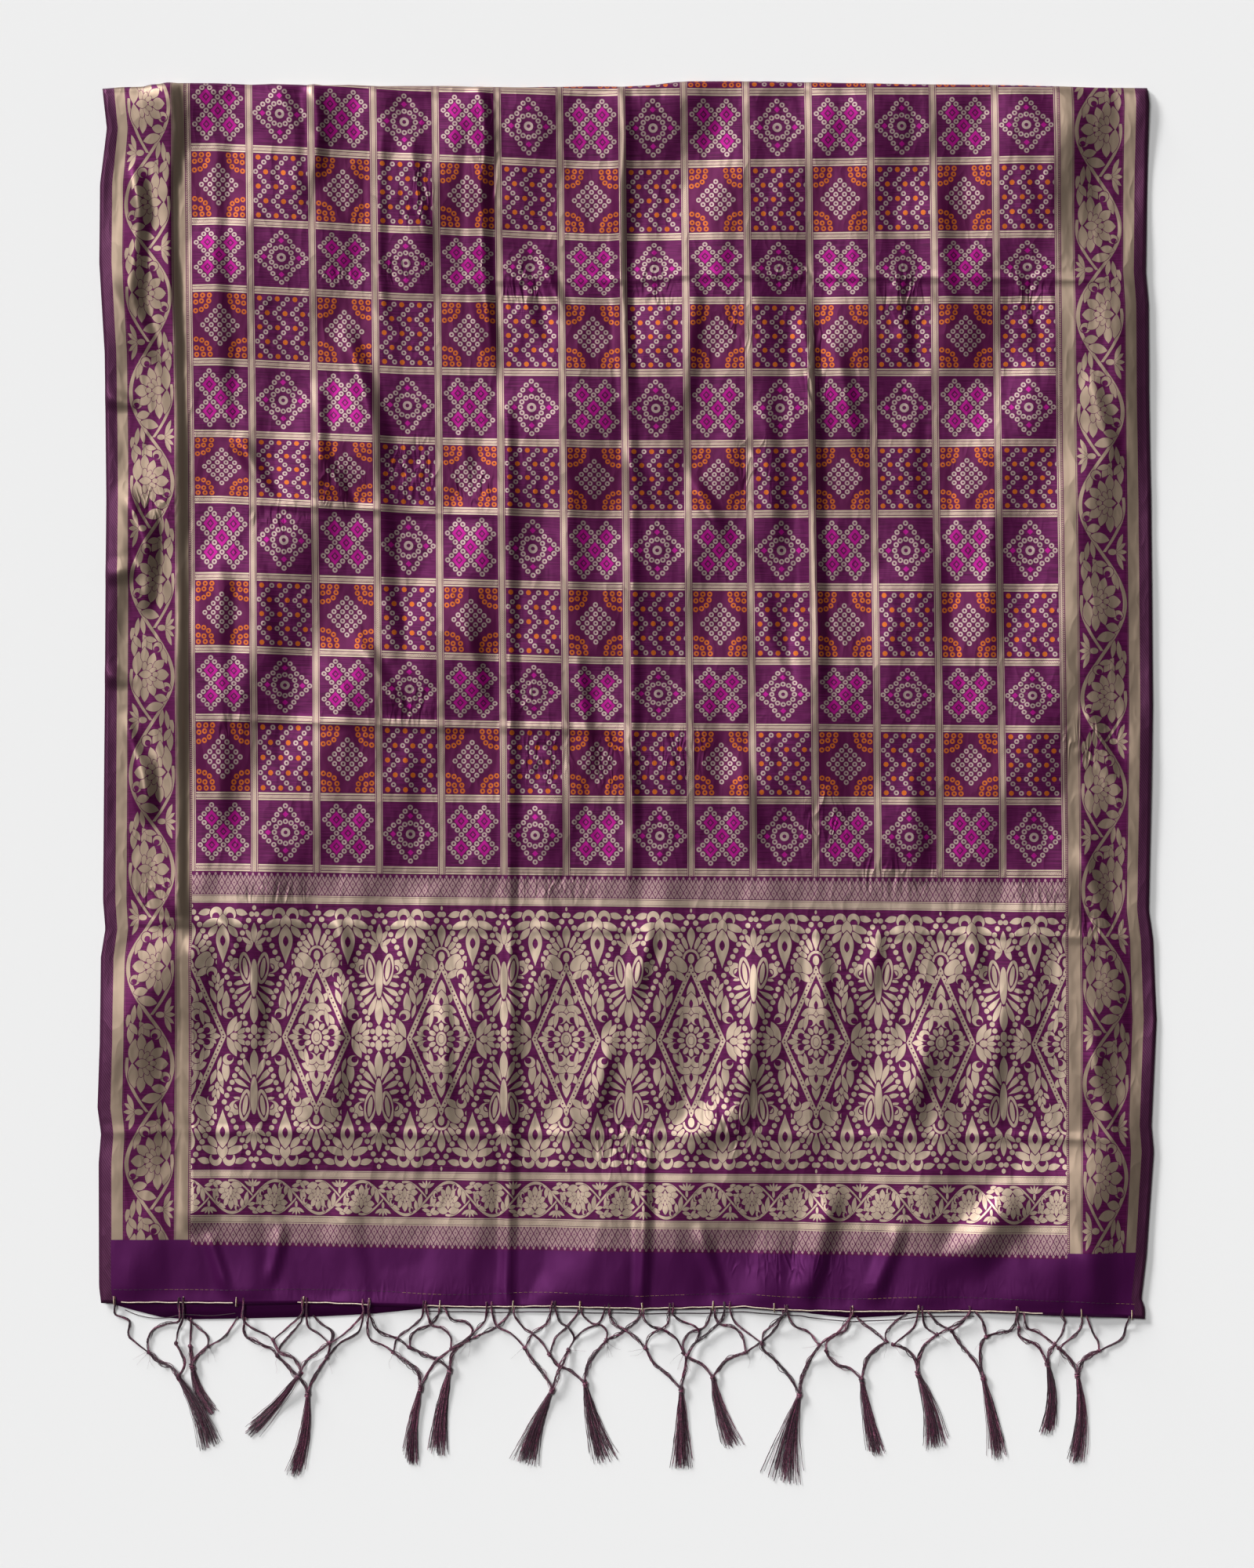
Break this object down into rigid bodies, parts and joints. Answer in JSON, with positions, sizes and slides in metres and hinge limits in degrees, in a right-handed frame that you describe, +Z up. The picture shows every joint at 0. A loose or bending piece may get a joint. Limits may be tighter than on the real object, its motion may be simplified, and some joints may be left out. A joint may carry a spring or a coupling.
{
  "type": "folded dupatta stole",
  "caption": "Woven silk dupatta stole with brocade borders, a figured field and knotted tassel ends, folded in half and laid flat.",
  "frame": {"origin": "on the surface the stole lies on, below the middle of its bounding box", "axes": "+Y along the length from the fringe to the fold, +X across the width, +Z up from the surface"},
  "size_m": [0.8986, 1.1925, 0.0113],
  "materials": {
    "brocade": "satin",
    "under_cloth": "satin",
    "fringe_thread": "satin"
  },
  "bodies": {
    "root": {"upper_half": "brocade", "under_half": "under_cloth", "tassel_01": "fringe_thread", "tassel_02": "fringe_thread", "tassel_03": "fringe_thread", "tassel_04": "fringe_thread", "tassel_05": "fringe_thread", "tassel_06": "fringe_thread", "tassel_07": "fringe_thread", "tassel_08": "fringe_thread", "tassel_09": "fringe_thread", "tassel_10": "fringe_thread", "tassel_11": "fringe_thread", "tassel_12": "fringe_thread", "tassel_13": "fringe_thread", "tassel_14": "fringe_thread", "tassel_15": "fringe_thread", "tassel_16": "fringe_thread"}
  },
  "joints": []
}
